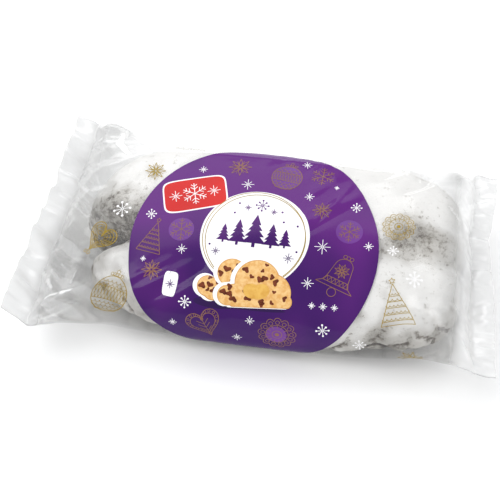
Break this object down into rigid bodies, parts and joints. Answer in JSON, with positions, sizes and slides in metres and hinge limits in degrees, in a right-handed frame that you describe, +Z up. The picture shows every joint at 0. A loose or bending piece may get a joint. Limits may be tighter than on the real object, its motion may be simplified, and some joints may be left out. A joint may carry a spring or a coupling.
{
  "type": "packed stollen",
  "caption": "Sugar-dusted Christmas stollen loaf sealed in a clear pillow bag with crimped ends, printed with a purple disc and gold and white winter ornaments.",
  "frame": {"origin": "centre of the bag's bounding box on the surface that it rests on", "axes": "+X along the bag from one end seal to the other, +Y towards the loaf's high back, +Z up"},
  "size_m": [0.3, 0.18, 0.0775],
  "materials": {
    "film_over_sugar": "clear glossy film over a loaf white with powdered sugar",
    "clear_film": "thin clear polypropylene film, glossy and wrinkled",
    "powdered_sugar": "dusty powdered sugar over baked crust",
    "purple_ink": "purple ink printed under glossy film",
    "white_ink": "opaque white ink printed under glossy film",
    "gold_ink": "satin gold ink",
    "red_ink": "red ink printed under glossy film",
    "cake_ink": "printed cream, yellow and brown of cake slices"
  },
  "bodies": {
    "root": {"stollen_bag": "film_over_sugar"}
  },
  "joints": []
}
